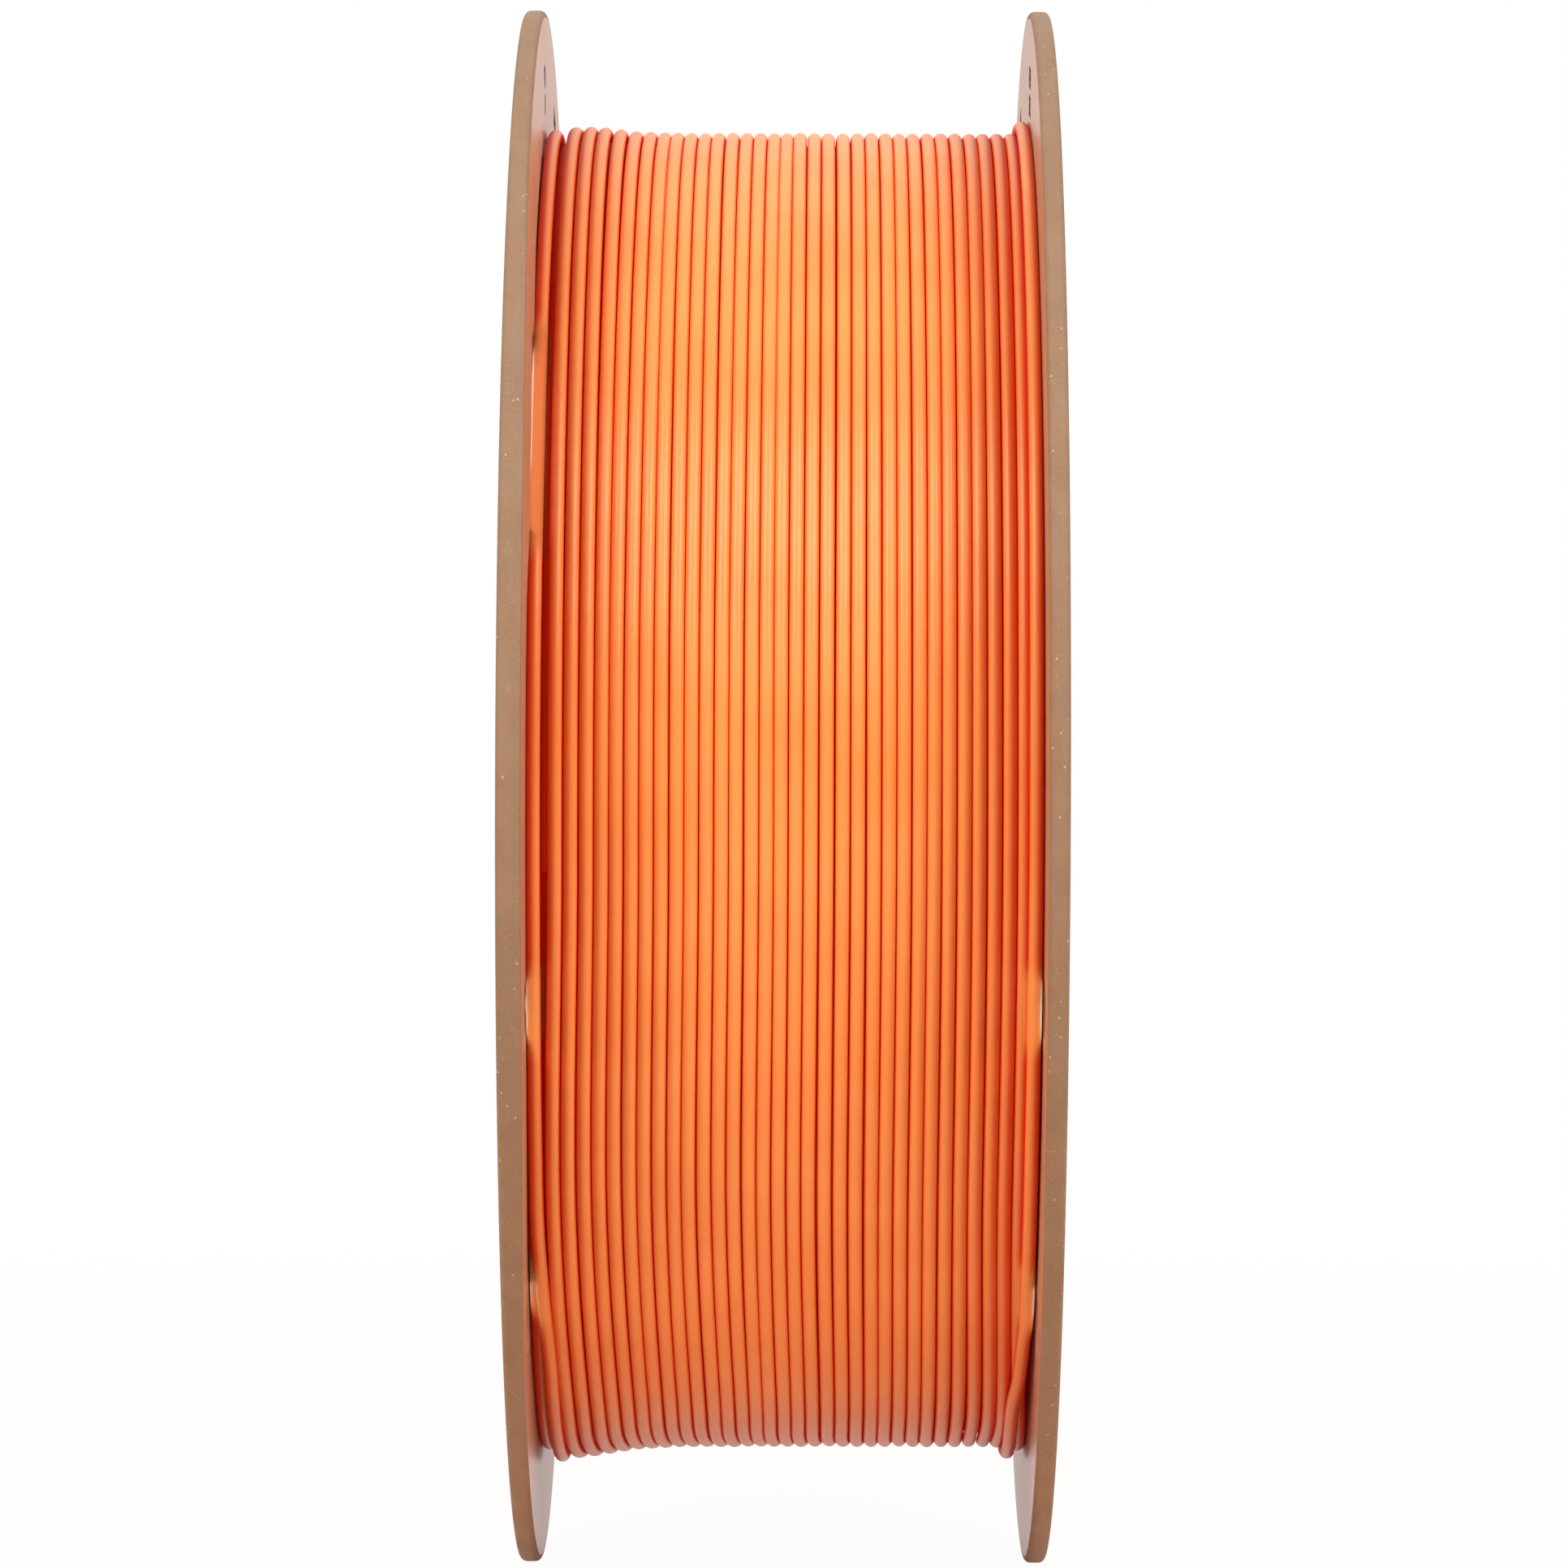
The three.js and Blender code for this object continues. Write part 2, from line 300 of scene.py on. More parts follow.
def filament_material():
    shader = Shader("filament_satin_orange")
    x, radius, angle = round_the_axle(shader)
    crest, across, _ = shader.split(shader.node(
        "ShaderNodeAttribute", {"attribute_name": "section"}, output="Vector"))
    grain_place = shader.join(x * 5.0, radius * 5.0, angle * WOUND_AT * 0.22)
    grain = shader.noise(grain_place, 1.0, 3.0, 0.6)
    tooth = shader.noise(shader.place(), 5.5, 2.0, 0.7)
    cloud = shader.noise(shader.place(), 0.06, 2.0)

    # Where a point lies: beside a flange, by the slot or any hole, on the raised last turn,
    # and how much it faces its flange.
    beside = ((x * x / 900.0) ** 2.0).least(0.92)
    by_slot = within(angle, BY_SLOT) * (x * -1.0).above(END_TURN, 0.4)
    by_hole = within(angle, *BY_TIE_HOLES) * (x * x).above(END_TURN ** 2, 20.0) + by_slot
    raised = radius.above(85.1, 0.5) * 0.7
    outward = across * x / 30.0
    facing = (outward + 0.8).least(1.0).most(0.0) * (1.0 - by_hole) * (1.0 - raised)
    # Mask of the painted highlight: the pale line of daylight down the end turn's outer edge by
    # the holes.
    edge = within(angle, *PAINTED_LIT_EDGES) * by_hole
    edge = edge * outward.above(0.78, 0.14) * (x * x).above(END_TURN_SIDE ** 2, 30.0)

    colour = shader.blend(cloud.above(0.5, 0.2), srgb(246, 141, 65), srgb(249, 150, 74))
    colour = shader.blend(tooth.above(0.72, 0.05) * 0.25, colour, srgb(250, 170, 120))
    colour = shader.blend(tooth.above(0.27, 0.05) * -0.18 + 0.18, colour, srgb(214, 92, 38))
    # Painted shade: turns beside a flange are darker red on the side that faces it, where the
    # flange shades the light.
    colour = shader.blend(beside * facing, colour, srgb(212, 58, 7))
    # Painted shade: the end turn beside the slot is darkened where light through the slot falls
    # on it.
    colour = shader.blend(by_slot * 0.6, colour, srgb(190, 78, 24))
    # Painted highlight: the pale line where light through a hole falls on the end turn.
    colour = shader.blend(edge * 0.9, colour, srgb(255, 226, 204))
    relief = shader.bump(tooth, 0.03 * MM, 0.6)
    relief = shader.bump(grain, 0.03 * MM, 0.5, relief)
    open_side = shader.principled({
        "Base Color": colour, "Roughness": grain * 0.10 + tooth * 0.10 + by_slot * 0.35 + 0.29,
        "Normal": relief, "IOR": 1.46,
        "Sheen Weight": 0.08, "Sheen Roughness": 0.45, "Sheen Tint": (1.0, 0.8, 0.72, 1.0)})
    # Painted shade: a deep red, nearly unreflective surface with a faint painted glow, used
    # where turns meet.
    painted_gap_shade = shader.principled({
        "Base Color": shader.blend(tooth, srgb(222, 48, 2), srgb(234, 62, 4)),
        "Roughness": 0.6, "Normal": relief, "Specular IOR Level": 0.12,
        "Emission Color": shader.blend(beside, PAINTED_GLOW, PAINTED_GLOW_BESIDE_FLANGE),
        "Emission Strength": 1.0})
    # Where the painted deep red shade goes: the low flanks between turns, and the flange-facing
    # side beside the flanges.
    flank = (1.0 - crest.above(0.42, 0.34)).most(beside * outward.above(0.25, 0.35) * 0.8)
    return shader.finish(shader.mix(flank * 0.85 * (1.0 - by_hole), open_side, painted_gap_shade))


filament = filament_material()
print("made", filament.name)

# %% [markdown]
# ## Board and paper
#
# A cardboard flange is grey board with a sealed tan rim and a smooth paper liner on each
# face. Seen close, the rim has soft pressed wrinkles and a few pale specks, and the paper
# has short fibres. The walls of the holes show the raw board, which is browner and duller.


# %% Board, rim and paper materials
RIM_AT = 100.0  # radii, in millimetres
GAUGE_AT = 90.0
GAUGE_ANGLES = (79.0, 105.0)
SEAM_LEAN = 14.0  # millimetres along the tube per radian
SEAM_PITCH = 44.0


def specks(shader, vector, scale, share):
    """Small round specks: 1 in a speck and 0 around it. A larger share gives more of them."""
    cells = shader.node("ShaderNodeTexVoronoi", None, {"Vector": vector, "Scale": scale})
    centres = Wire(shader, cells.socket.node.outputs["Position"])
    lottery = shader.node("ShaderNodeTexWhiteNoise", None, {"Vector": centres})
    return lottery.above(1.0 - share, 0.001) * (1.0 - cells.above(0.16, 0.06))


def board_material():
    shader = Shader("flange_board_sealed_rim")
    place = shader.place()
    x, radius, angle = round_the_axle(shader)
    along = angle * RIM_AT
    rim_place = shader.join(x + along * 0.35, along * 0.30, radius * 0.5)
    wrinkles = shader.noise(rim_place, 0.55, 3.0, 0.55)
    mottle = shader.noise(place, 0.16, 3.0, 0.6)
    tooth = shader.noise(place, 3.2, 2.0, 0.6)
    tan = shader.blend(mottle.above(0.5, 0.22), srgb(142, 111, 85), srgb(149, 118, 91))
    tan = shader.blend(wrinkles.above(0.58, 0.12) * 0.35, tan, srgb(141, 102, 76))
    tan = shader.blend(tooth.above(0.6, 0.2) * 0.18, tan, srgb(186, 150, 120))
    tan = shader.blend(specks(shader, place, 1.1, 0.12) * 0.5, tan, srgb(222, 198, 168))
    tan = shader.blend(specks(shader, place, 2.3, 0.22) * 0.35, tan, srgb(214, 190, 160))
    layers = shader.noise(shader.join(x * 6.0, radius, along), 1.0)
    raw = shader.blend(layers, srgb(128, 100, 78), srgb(168, 140, 112))
    relief = shader.bump(wrinkles, 0.22 * MM, 0.55)
    relief = shader.bump(tooth, 0.06 * MM, 0.4, relief)
    return shader.finish(shader.principled({
        "Base Color": shader.blend(radius.above(RIM_AT - 1.1, 0.1), raw, tan),
        "Roughness": tooth * 0.15 + 0.62, "Normal": relief, "IOR": 1.4}))


def gauge_marks(shader, radius, angle):
    """Worn printed marks on the inner liners, a plain gauge of how much is left."""
    print_place = shader.join(radius * 1.2, angle * GAUGE_AT, 0.0)
    worn = shader.noise(print_place, 1.0, 2.0, 0.7).above(0.40, 0.05)
    blocks = 0.0
    for middle in GAUGE_ANGLES:
        aside = angle.away(math.radians(middle)) * GAUGE_AT
        blocks = (1.0 - aside.above(3.6, 0.05)) + blocks
    rows = radius.between(86.9, 93.2, 0.1) - radius.between(89.6, 90.5, 0.1)
    return blocks * rows * worn


def paper_material(name, dark, pale, printed=False):
    shader = Shader(name)
    place = shader.place()
    _, radius, angle = round_the_axle(shader)
    fibres = shader.noise(place, 1.7, 4.0, 0.65)
    pulp = shader.noise(place, 0.07, 6.0, 0.68)
    tooth = shader.noise(place, 4.5, 2.0, 0.6)
    colour = shader.blend(pulp.above(0.5, 0.25), dark, pale)
    colour = shader.blend(fibres.above(0.62, 0.06) * 0.22, colour, srgb(112, 82, 62))
    colour = shader.blend(specks(shader, place, 0.55, 0.16) * 0.4, colour, srgb(176, 142, 116))
    if not printed:
        pressed = 1.0 - radius.away(48.5).above(1.9, 0.9)  # over the core tube's end
        colour = shader.blend(pressed * 0.12, colour, srgb(176, 146, 122))
    relief = shader.bump(fibres, 0.05 * MM, 0.5)
    relief = shader.bump(tooth, 0.03 * MM, 0.4, relief)
    paper = shader.principled({
        "Base Color": colour, "Roughness": tooth * 0.12 + 0.24, "Normal": relief, "IOR": 1.4,
        "Sheen Weight": 0.12, "Sheen Roughness": 0.5, "Sheen Tint": (1.0, 0.72, 0.58, 1.0)})
    if not printed:
        return shader.finish(paper)
    ink = shader.principled({
        "Base Color": srgb(84, 48, 34), "Roughness": 0.9, "Normal": relief,
        "Specular IOR Level": 0.05})
    return shader.finish(shader.mix(gauge_marks(shader, radius, angle), paper, ink))


def grey_board_material():
    shader = Shader("grey_board_spiral_tube")
    place = shader.place()
    x, _, angle = round_the_axle(shader)
    pulp = shader.noise(place, 0.25, 4.0, 0.65)
    tooth = shader.noise(place, 2.6, 3.0, 0.6)
    colour = shader.blend(pulp.above(0.5, 0.25), srgb(150, 132, 112), srgb(172, 154, 132))
    colour = shader.blend(tooth.above(0.62, 0.08) * 0.3, colour, srgb(120, 100, 82))
    winds = (x + angle * SEAM_LEAN) / SEAM_PITCH + 10.0
    along_seam = shader.node("ShaderNodeMath", {"operation": "FRACT"}, {0: winds})
    seam = 1.0 - along_seam.away(0.5).above(0.008, 0.004)
    colour = shader.blend(seam * 0.6, colour, srgb(98, 80, 64))
    relief = shader.bump(seam * -1.0, 0.2 * MM, 0.8)
    relief = shader.bump(tooth, 0.08 * MM, 0.5, relief)
    return shader.finish(shader.principled({
        "Base Color": colour, "Roughness": 0.82, "Normal": relief, "IOR": 1.4}))


board = board_material()
inner_paper = paper_material(
    "liner_paper_inner", srgb(168, 123, 91), srgb(180, 136, 103), printed=True)
outer_paper = paper_material("liner_paper_outer", srgb(168, 134, 108), srgb(182, 148, 121))
grey_board = grey_board_material()
print("made", board.name, inner_paper.name, outer_paper.name, grey_board.name)

# %% [markdown]
# ## Turned shapes with real holes
#
# Flanges, liners, rings and the core tube are all discs or rings. A profile turned round
# the axle gives the smooth rim, and a Boolean takes the tie holes and the slot out of it.
# The cutters flare a little at the faces, so each hole gets the soft edge of a punched one.

# %% Sizes of the board parts, most of them read from the solids
_, board_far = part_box("right_flange_board")
_, liner_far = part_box("right_outer_liner")
inner_near, inner_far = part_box("right_inner_liner")
FLANGE_RADIUS = board_far.z
INNER_FACE = inner_near.x
BOARD_INNER = inner_far.x
BOARD_OUTER = board_far.x
OUTER_FACE = liner_far.x
SPINDLE_BORE = 27.5 * MM
RIM_ROUNDING = 0.7 * MM
RIM_BAND = 0.75 * MM  # the tan rim reaches this far in, and the liners stop at it
FLANGE_STEPS = 360
TUBE_STEPS = 180
print("flange from", INNER_FACE, "to", OUTER_FACE, "radius", FLANGE_RADIUS)


def smooth(value, low, high):
    """0 before low and 1 after high, eased between. It works on numbers and on arrays."""
    share = np.clip((value - low) / (high - low), 0.0, 1.0)
    return share * share * (3 - 2 * share)


def smooth_by_angle(mesh, degrees):
    """Smooths the shading except across edges that are sharper than this."""
    mesh.shade_smooth()
    shaped = bmesh.new()
    shaped.from_mesh(mesh)
    limit = math.radians(degrees)
    for edge in shaped.edges:
        edge.smooth = len(edge.link_faces) != 2 or edge.calc_face_angle(0.0) < limit
    shaped.to_mesh(mesh)
    shaped.free()
    mesh.update()


def new_piece(name, mesh, material, replaces=(), sharp=35):
    """Shows a mesh as a piece that rides on the body and stands for its solids.

    Edges sharper than so many degrees stay sharp.
    """
    smooth_by_angle(mesh, sharp)
    mesh.materials.append(material)
    piece = add_object(name, mesh)
    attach(piece, "root")
    if replaces:
        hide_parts(*replaces)


def on_flange(radius, degrees):
    """Y and Z of a point, by radius and by angle from the front over the top."""
    angle = math.radians(degrees)
    return -radius * math.cos(angle), radius * math.sin(angle)


def bridge(shaped, here, there):
    """Joins two rings of corners with a band of faces."""
    for k in range(len(here)):
        after = (k + 1) % len(here)
        shaped.faces.new((here[k], here[after], there[after], there[k]))


def finished_mesh(name, shaped):
    """Turns all faces outward and stores the shape."""
    bmesh.ops.recalc_face_normals(shaped, faces=shaped.faces)
    mesh = bpy.data.meshes.new(name)
    shaped.to_mesh(mesh)
    shaped.free()
    return mesh


def turned_mesh(name, profile, steps):
    """Turns a closed profile of (radius, x) corners round the X axis."""
    shaped = bmesh.new()
    rings = []
    for i in range(steps):
        ring = []
        for radius, x in profile:
            y, z = on_flange(radius, 360 * i / steps)
            ring.append(shaped.verts.new((x, y, z)))
        rings.append(ring)
    for here, there in zip(rings, rings[1:] + rings[:1]):
        bridge(shaped, here, there)
    return finished_mesh(name, shaped)


def rounded_corner(centre_radius, centre_x, radius, start, stop, steps=5):
    """Points of a quarter circle in a profile, from one direction to the other in degrees."""
    points = []
    for i in range(steps + 1):
        angle = math.radians(start + (stop - start) * i / steps)
        across, along = radius * math.cos(angle), radius * math.sin(angle)
        points.append((centre_radius + across, centre_x + along))
    return points


# %% [markdown]
# ### Cutters for the tie holes and the slot
#
# The hole positions are sizes of the real product: two small tie holes at the lower front,
# their twins at the back, and one long slot in the left flange only.

# %% Hole cutters
TIE_HOLE_RADIUS = 4.25 * MM
TIE_HOLE_CIRCLE = 87 * MM
TIE_HOLE_ANGLES = (-19.3, -49.5, 160.7, 130.5)
SLOT_ANGLE = 29.0
SLOT_SPAN = 12.4
HOLE_STEPS = 48
ARC_STEPS = 12
FLARE = 0.12 * MM  # how much a hole widens at the faces, and over what depth
OVERSHOOT = 2 * MM  # how far a cutter stands out of the plate


def slot_outline(half_width):
    """A closed outline that follows the rim and has round ends."""
    points = []
    low, high = SLOT_ANGLE - SLOT_SPAN / 2, SLOT_ANGLE + SLOT_SPAN / 2
    half_steps = HOLE_STEPS // 2
    for end, other, turned, side in ((high, low, 0, 1), (low, high, 180, -1)):
        centre = Vector(on_flange(TIE_HOLE_CIRCLE, end))
        for i in range(half_steps + 1):
            angle = end + turned + 180 * i / half_steps
            points.append(centre + Vector(on_flange(half_width, angle)))
        for angle in np.linspace(end, other, ARC_STEPS)[1:-1]:
            points.append(Vector(on_flange(TIE_HOLE_CIRCLE - side * half_width, angle)))
    return points


def hole_outline(angle, radius):
    """A closed circle round a tie hole's middle."""
    centre = Vector(on_flange(TIE_HOLE_CIRCLE, angle))
    steps = range(HOLE_STEPS)
    return [centre + Vector(on_flange(radius, -360 * i / HOLE_STEPS)) for i in steps]


def cutter_mesh(name, outlines, sections):
    """One cutter per outline: the outline at each section's x, grown by the section's amount."""
    shaped = bmesh.new()
    for outline in outlines:
        rings = []
        for x, grown in sections:
            rings.append([shaped.verts.new((x, p.x, p.y)) for p in outline(grown)])
        for near, far in zip(rings, rings[1:]):
            bridge(shaped, near, far)
        shaped.faces.new(rings[0])
        shaped.faces.new(rings[-1])
    return finished_mesh(name, shaped)


def flange_outlines(side):
    """For each hole of a flange, a function from the cutter's growth to its outline."""
    outlines = []
    for angle in TIE_HOLE_ANGLES:
        outlines.append(lambda grown, at=angle: hole_outline(at, TIE_HOLE_RADIUS + grown))
    if side < 0:
        outlines.append(lambda grown: slot_outline(TIE_HOLE_RADIUS + grown))
    return outlines


def cut_holes(mesh, side, near, far):
    """Takes a flange's holes out of a plate that lies between two distances from the middle."""
    middle = side * (near + far) / 2
    half = (far - near) / 2
    sections = [
        (middle - half - OVERSHOOT, FLARE),
        (middle - half, FLARE),
        (middle - half + FLARE, 0),
        (middle + half - FLARE, 0),
        (middle + half, FLARE),
        (middle + half + OVERSHOOT, FLARE),
    ]
    cutter = add_object("cutter", cutter_mesh("cutter", flange_outlines(side), sections))
    plate = add_object("plate", mesh)
    boolean = plate.modifiers.new("holes", "BOOLEAN")
    boolean.operation = "DIFFERENCE"
    boolean.solver = "EXACT"
    boolean.object = cutter
    bpy.context.view_layer.update()
    view = bpy.context.evaluated_depsgraph_get()
    cut = bpy.data.meshes.new_from_object(plate.evaluated_get(view))
    bpy.data.objects.remove(cutter)
    bpy.data.objects.remove(plate)
    return cut


for word, side in SIDES:
    print(word, "flange: cutters for", len(flange_outlines(side)), "holes")

# %% [markdown]
# ## Flanges
#
# The rim of a laminated flange is one smooth tan band, as thick as board and liners
# together, with rounded corners. The liners lie inside that band, flush with it, and their
# cut edge shows as the fine pale line where rim and face meet.


# %% Flange boards and liners
def board_profile(side):
    """The board's section: thick at the rim band, thinner where the liners lie."""
    middle = (INNER_FACE + OUTER_FACE) / 2
    half = (OUTER_FACE - INNER_FACE) / 2
    corner = RIM_ROUNDING
    band = FLANGE_RADIUS - RIM_BAND
    points = [(SPINDLE_BORE, BOARD_INNER), (band, BOARD_INNER), (band, INNER_FACE)]
    points += rounded_corner(FLANGE_RADIUS - corner, middle - half + corner, corner, -90, 0)
    points += rounded_corner(FLANGE_RADIUS - corner, middle + half - corner, corner, 0, 90)
    points += [(band, OUTER_FACE), (band, BOARD_OUTER), (SPINDLE_BORE, BOARD_OUTER)]
    return [(radius, side * x) for radius, x in points]


def plate_profile(side, inner, outer, near, far, edge, stops=()):
    """A plain ring's section with small chamfered edges, and more corners on its near face."""
    points = [(inner + edge, near)] + [(stop, near) for stop in stops]
    points += [
        (outer - edge, near), (outer, near + edge),
        (outer, far - edge), (outer - edge, far), (inner + edge, far),
        (inner, far - edge), (inner, near + edge),
    ]
    return [(radius, side * x) for radius, x in points]


PAPER_GAP = 0.03 * MM  # between a liner and the rim band
PAPER_EDGE = 0.04 * MM
BENDS = [radius * MM for radius in (84.2, 85.8, 87.5, 90, 92, 94, 96, 98)]
LEAN = 0.48  # millimetres, as is the bulge
BULGE = 0.58


def swell_front(mesh, limit):
    """Moves the left flange's inner side towards the winding.

    The whole of it stands in a little at the front, and above the slot, where it has been
    pressed in, the face also bulges between the winding and the rim.
    """
    for vertex in mesh.vertices:
        if vertex.co.x > -limit:
            radius = math.hypot(vertex.co.y, vertex.co.z)
            angle = math.degrees(math.atan2(vertex.co.z, -vertex.co.y))
            lean = LEAN * smooth(-vertex.co.y / radius, 0.64, 0.98)
            above = smooth(angle, 8, 28) * (1 - smooth(angle, 62, 88))
            ridge = smooth(radius, 84.2 * MM, 87.5 * MM) * (1 - smooth(radius, 90 * MM, 98 * MM))
            vertex.co.x += float(lean + BULGE * above * ridge) * MM


def make_board(word, side):
    mesh = turned_mesh(f"{word}_flange", board_profile(side), FLANGE_STEPS)
    mesh = cut_holes(mesh, side, BOARD_INNER, BOARD_OUTER)
    if side < 0:
        swell_front(mesh, BOARD_INNER - 0.01 * MM)
    new_piece(
        f"{word}_flange_rim_and_board", mesh, board, [f"{word}_flange_board"])


def make_paper(word, side, face, near, far, paper, stops):
    name = f"{word}_{face}_paper"
    outer = FLANGE_RADIUS - RIM_BAND - PAPER_GAP
    profile = plate_profile(side, SPINDLE_BORE, outer, near, far, PAPER_EDGE, stops)
    mesh = cut_holes(turned_mesh(name, profile, FLANGE_STEPS), side, near, far)
    if side < 0 and face == "inner":
        swell_front(mesh, (near + far) / 2)
    new_piece(name, mesh, paper, [f"{word}_{face}_liner"])


for word, side in SIDES:
    make_board(word, side)
    make_paper(word, side, "inner", INNER_FACE, BOARD_INNER, inner_paper, BENDS)
    make_paper(word, side, "outer", BOARD_OUTER, OUTER_FACE, outer_paper, ())
    print(word, "flange made")

# %% [markdown]
# ## Core tube and centring rings
#
# Both are hidden from the front, but the bore shows them from the side: grey board with
# the slanting seams of a spiral-wound tube.

# %% Core tube and rings
ring_near, ring_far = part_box("right_centring_ring")
tube_near, tube_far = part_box("core_tube")
RING_BORE = 31.5 * MM
TUBE_RADIUS = 50 * MM
TUBE_WALL = 3 * MM
BOARD_EDGE = 0.25 * MM


def make_ring(name, node, side, inner, outer, near, far):
    profile = plate_profile(side, inner, outer, near, far, BOARD_EDGE)
    mesh = turned_mesh(name, profile, TUBE_STEPS)
    new_piece(name, mesh, grey_board, [node])


make_ring("spiral_core_tube", "core_tube", 1,
          TUBE_RADIUS - TUBE_WALL, TUBE_RADIUS, tube_near.x, tube_far.x)
for word, side in SIDES:
    make_ring(f"{word}_board_ring", f"{word}_centring_ring", side,
              RING_BORE, ring_far.z, ring_near.x, ring_far.x)
print("core tube and rings made")

# %% [markdown]
# ## The winding
#
# The strand is one unbroken tube. A machine lays it straight round the spool and steps
# aside once a turn, always at the same place, here low at the front. So its path is a
# formula: a place across the spool that climbs by one pitch per turn in that zone, and a
# radius that swells where the turns cross those of the layer below.
#
# `laid` counts turns since the first one reached the stepping zone.

# %% The path of the outer layer
STRAND = 1.75 * MM
TOP_RADIUS = 84.4 * MM - STRAND / 2
ZONE_START = -37.0
PITCH = 1.7955 * MM
LAST_TURN = 33
LAST_PLACE = 28.56 * MM
LAYER_DROP = 1.50 * MM  # from one layer's centre line down to the next
STEPS_PER_TURN = 144
STRAND_SIDES = 16
SWELL_ZONE = (-12, 118)  # degrees past the zone's start in which turns ride over others


def eased_keys(keys, value):
    """Follows a few (position, value) keys, eased from each to the next."""
    result = np.full_like(value, keys[0][1])
    for (low, before), (high, after) in zip(keys, keys[1:]):
        result = result + (after - before) * smooth(value, low, high)
    return result


def split_turns(laid):
    """The number of a turn, and how many degrees the place is past the start of its zone."""
    turn = np.floor(laid)
    return turn, (laid - turn) * 360


def swelling(degrees):
    """1 in the middle of the swell zone and 0 outside it, at either end of a turn."""
    low, high = SWELL_ZONE
    middle = (low + high) / 2
    total = 0.0
    for start in (0, 360):
        rise = smooth(degrees, start + low, start + middle)
        total = total + rise * (1 - smooth(degrees, start + middle, start + high))
    return total


def round_the_spool(across, radius, laid):
    """Points at these distances along the axle and from it. A turn comes down the front."""
    angle = np.radians(ZONE_START - 360 * laid)
    return np.stack([across, -radius * np.cos(angle), radius * np.sin(angle)], axis=1)


def start_place(turn):
    """Where turns lie as they come to the zone: a pitch apart, but the first ones looser."""
    crowd = 0.38 * (smooth(turn, 17.5, 23.5) - 1 - np.exp(-(turn - 1) / 1.5)) * MM
    return LAST_PLACE - PITCH * (LAST_TURN - turn) + crowd


def outer_place(laid):
    """Distance along the axle of the outer layer's strand.

    A turn starts its step low at the front and makes most of it under the spool, where it
    crosses the turns below. At the back it goes a little too far, and it is drawn into line
    again down the front: the middle turns in two stages, the first ones late.
    """
    turn, degrees = split_turns(laid)
    turn = turn + 1
    here, there = start_place(turn), start_place(turn + 1)
    right = smooth(turn, 14, 17.5)

    # How far too far a turn goes at the back, as drawn in early and late down the front.
    early = 0.22 * np.exp(-(((turn - 5.5) / 2) ** 2)) + 0.45 * smooth(turn, 1, 8)
    early = (early - 0.24 * smooth(turn, 16, 24) - 0.14 * right) * MM
    late = (0.22 + 0.36 * np.exp(-np.clip(turn - 2, 0, None) / 12) - 0.15 * right) * MM
    fall = early * np.clip((degrees - 245) / 66, 0, 1) + late * smooth(degrees, 330, 360)

    # The step itself: a first part in the zone, with a passing extra at the right, and the
    # rest of it where the turn crosses the one below.
    first = (0.90 - 0.50 * smooth(turn, 11, 26)) * MM
    extra = 0.50 * smooth(turn, 27.5, 31) * (1 - smooth(degrees, 34, 52)) * MM
    cross = 35 + 6 * smooth(turn, 8, 24)
    second = 0.78 * smooth(degrees, cross, cross + 27) + 0.22 * smooth(degrees, cross + 20, 150)
    second = second * (there - here + early + late - first)
    return here + (first + extra) * smooth(degrees, -2, 36) + second - fall


def outer_lift(laid):
    """How far the strand lies outside the plain radius of the layer."""
    _, degrees = split_turns(laid)
    by_left = np.exp(-np.clip(laid, 0, None) / 4.0) + 0.5 * np.exp(-((laid / 0.5) ** 2))
    left_crown = 0.75 * np.exp(-(((laid - 1.5) / 3.0) ** 2))
    return (swelling(degrees) * (0.87 + 1.0 * by_left) + left_crown) * MM


# %% [markdown]
# ### First and last turns
#
# The first turn comes up from the layer below beside the left flange. The last one finds
# no room left beside the right flange, so it rides up on its neighbour, comes down the
# front like that, crosses back over the turns at the bottom, and ends in a tie hole at the
# back, where it can't spring loose.

# %% Special turns
# Each key is a place in turns, and there the distance along the axle in millimetres, or the
# lift: for the first turn as a share of the layer's drop, for the last one in millimetres.
FIRST_SIDE_KEYS = [
    (-1.08, -29.95), (-0.85, -30.00), (-0.55, -29.75), (-0.353, -29.70), (-0.27, -29.60),
    (-0.19, -29.60), (-0.10, -29.66), (0.00, -29.66), (0.065, -28.57), (0.147, -28.35),
    (0.42, -26.85), (0.65, -26.68),
]
FIRST_LIFT_KEYS = [(-1.00, -1.0), (-0.85, -0.62), (-0.55, -0.12), (-0.20, -0.12), (-0.05, 0.0)]
FIRST_LAID = -1.08
FIRST_FREE = 0.65  # from here on the first turn follows the layer's rule
LAST_SIDE_KEYS = [
    (32.00, 28.56), (32.15, 30.10), (32.70, 30.10), (32.90, 30.02), (33.00, 29.88),
    (33.035, 29.85), (33.056, 29.40), (33.082, 28.60), (33.147, 28.75), (33.30, 28.60),
]
LAST_LIFT_KEYS = [
    (32.04, 0.0), (32.14, 0.45), (32.22, 1.50), (32.70, 1.60), (32.90, 0.78), (33.00, 0.88),
    (33.05, 1.35), (33.09, 1.60), (33.147, 1.45), (33.30, 1.65),
]
TAIL_ANGLE = 160.7
TAIL_BEND = 3.4 * MM
TAIL_STEPS = 8


def last_laid():
    """Where the strand leaves the layer, just before its tie hole."""
    whole = (ZONE_START - TAIL_ANGLE) / 360
    return LAST_TURN + (whole - math.floor(whole)) - TAIL_BEND / (2 * math.pi * TOP_RADIUS)


